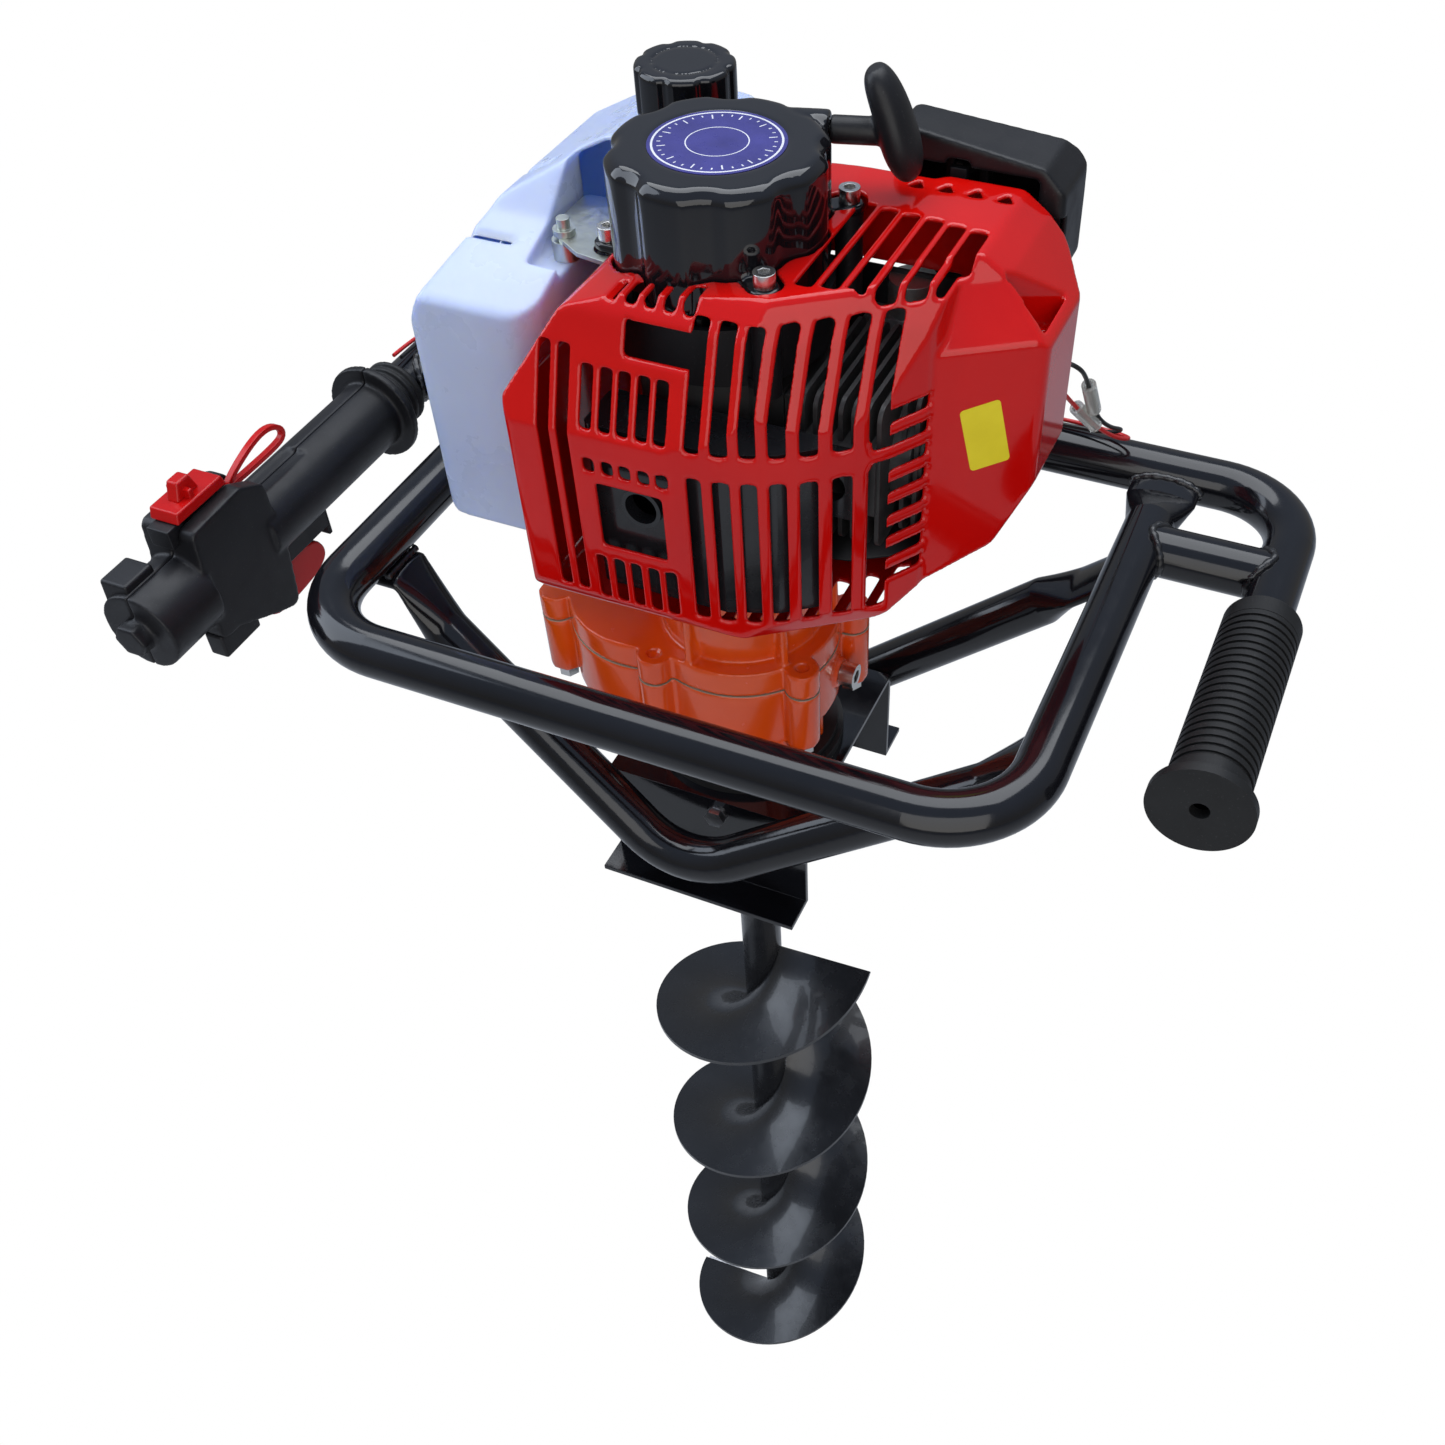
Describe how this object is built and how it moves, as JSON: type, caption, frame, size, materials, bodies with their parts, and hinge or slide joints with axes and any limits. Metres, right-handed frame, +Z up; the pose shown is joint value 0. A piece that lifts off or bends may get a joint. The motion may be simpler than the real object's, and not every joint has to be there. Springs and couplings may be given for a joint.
{
  "type": "ice fishing auger",
  "caption": "Powered hand auger with a two-stroke engine, red fan cover, orange gearbox, black tubular handle frame and a helical bit.",
  "frame": {"origin": "tip of the drill point, on the axis of the bit", "axes": "+Z up the bit towards the engine, +X towards the cylinder and the right grip, -Y towards the front bar"},
  "size_m": [0.549, 0.3305, 1.115],
  "materials": {
    "frame_black": "gloss",
    "bit_black": "gloss",
    "orange_cast": "gloss",
    "red_plastic": "gloss",
    "black_plastic": "gloss",
    "matte_black": "matte",
    "rubber": "matte",
    "tank_white": "satin",
    "zinc": "satin",
    "bright_steel": "gloss",
    "steel": "satin",
    "aluminium": "satin",
    "badge_blue": "gloss",
    "red_switch": "gloss",
    "foam": "matte",
    "wire_black": "satin",
    "wire_red": "satin",
    "clear_sleeve": "gloss",
    "paper": "matte"
  },
  "bodies": {
    "frame": {"front_loop_tube": "frame_black", "handlebar_tube": "frame_black", "handlebar_struts": "frame_black", "front_v_brace": "frame_black", "rear_v_brace": "frame_black", "foot_bracket": "frame_black", "bracket_bolts": "steel", "right_grip": "rubber", "gearbox_upper_case": "orange_cast", "gearbox_lower_case": "orange_cast", "gearbox_gasket": "paper", "gearbox_bolts": "bright_steel", "gearbox_base_ring": "rubber", "shaft_bearings": "steel", "crankcase_lower": "aluminium", "crankcase_upper": "aluminium", "connecting_rod": "steel", "piston": "aluminium", "engine_cylinder": "aluminium", "spark_plug": "steel", "plug_boot": "rubber", "muffler": "bit_black", "fan_housing": "matte_black", "ignition_coil": "matte_black", "engine_shroud": "red_plastic", "starter_cover": "black_plastic", "starter_bolts": "bright_steel", "starter_badge": "badge_blue", "recoil_spring": "steel", "fuel_tank": "tank_white", "tank_plate": "zinc", "carburettor": "aluminium", "air_filter_base": "matte_black", "air_filter_cover": "matte_black", "throttle_handle_left": "matte_black", "throttle_handle_right": "matte_black", "sleeve": "rubber", "black_lead": "wire_black", "red_lead": "wire_red", "bullet_connectors": "clear_sleeve"},
    "auger": {"output_shaft": "steel", "output_gear": "steel", "auger_shaft": "bit_black", "coupling_pin": "bright_steel", "auger_flight": "bit_black", "pilot_point": "steel", "cutting_blade": "steel"},
    "layshaft": {"lay_shaft": "steel", "lay_gear": "steel"},
    "drum": {"clutch_drum": "steel"},
    "crank": {"crankshaft": "steel", "flywheel_fan": "aluminium", "clutch_rotor": "steel"},
    "pull": {"pull_handle": "matte_black"},
    "pulley": {"starter_pulley": "matte_black"},
    "trigger": {"throttle_trigger": "red_switch"},
    "lockout": {"lockout_lever": "red_switch"},
    "stop": {"stop_switch": "red_switch"},
    "choke": {"choke_lever": "matte_black"},
    "cap": {"fuel_cap": "black_plastic"}
  },
  "joints": [
    {"name": "auger_spin", "type": "hinge", "parent": "frame", "child": "auger", "pos_m": [0, 0, 0.825], "axis": [0, 0, 1], "continuous": true},
    {"name": "layshaft_spin", "type": "hinge", "parent": "frame", "child": "layshaft", "pos_m": [-0.048, 0, 0.835], "axis": [0, 0, 1], "continuous": true},
    {"name": "drum_spin", "type": "hinge", "parent": "frame", "child": "drum", "pos_m": [0, 0, 0.865], "axis": [0, 0, 1], "continuous": true},
    {"name": "crank_spin", "type": "hinge", "parent": "frame", "child": "crank", "pos_m": [0, 0, 0.98], "axis": [0, 0, 1], "continuous": true},
    {"name": "handle_pull", "type": "slide", "parent": "frame", "child": "pull", "axis": [0.9677, 0.2521, 0], "range_m": [0, 0.6]},
    {"name": "pulley_spin", "type": "hinge", "parent": "frame", "child": "pulley", "pos_m": [0, 0, 1.085], "axis": [0, 0, -1], "range_deg": [0, 1110]},
    {"name": "trigger_squeeze", "type": "hinge", "parent": "frame", "child": "trigger", "pos_m": [-0.249, -0.074, 0.86], "axis": [1, 0, 0], "range_deg": [0, 14], "stiffness_Nm_per_rad": 0.15},
    {"name": "lockout_press", "type": "hinge", "parent": "frame", "child": "lockout", "pos_m": [-0.249, -0.072, 0.911], "axis": [-1, 0, 0], "range_deg": [0, 9], "stiffness_Nm_per_rad": 0.12},
    {"name": "stop_slide", "type": "slide", "parent": "frame", "child": "stop", "axis": [0, -1, 0], "range_m": [0, 0.005]},
    {"name": "choke_turn", "type": "hinge", "parent": "frame", "child": "choke", "pos_m": [0.076, 0.092, 1.059], "axis": [1, 0, 0], "range_deg": [-8, 8]},
    {"name": "cap_turn", "type": "hinge", "parent": "frame", "child": "cap", "pos_m": [-0.046, 0.065, 1.085], "axis": [0, 0, 1], "range_deg": [0, 360]}
  ],
  "couplings": [
    {"joint": "layshaft_spin", "follows": "auger_spin", "ratio": -5.4},
    {"joint": "drum_spin", "follows": "auger_spin", "ratio": 29.16},
    {"joint": "pulley_spin", "follows": "handle_pull", "rad_per_m": 32.051}
  ]
}
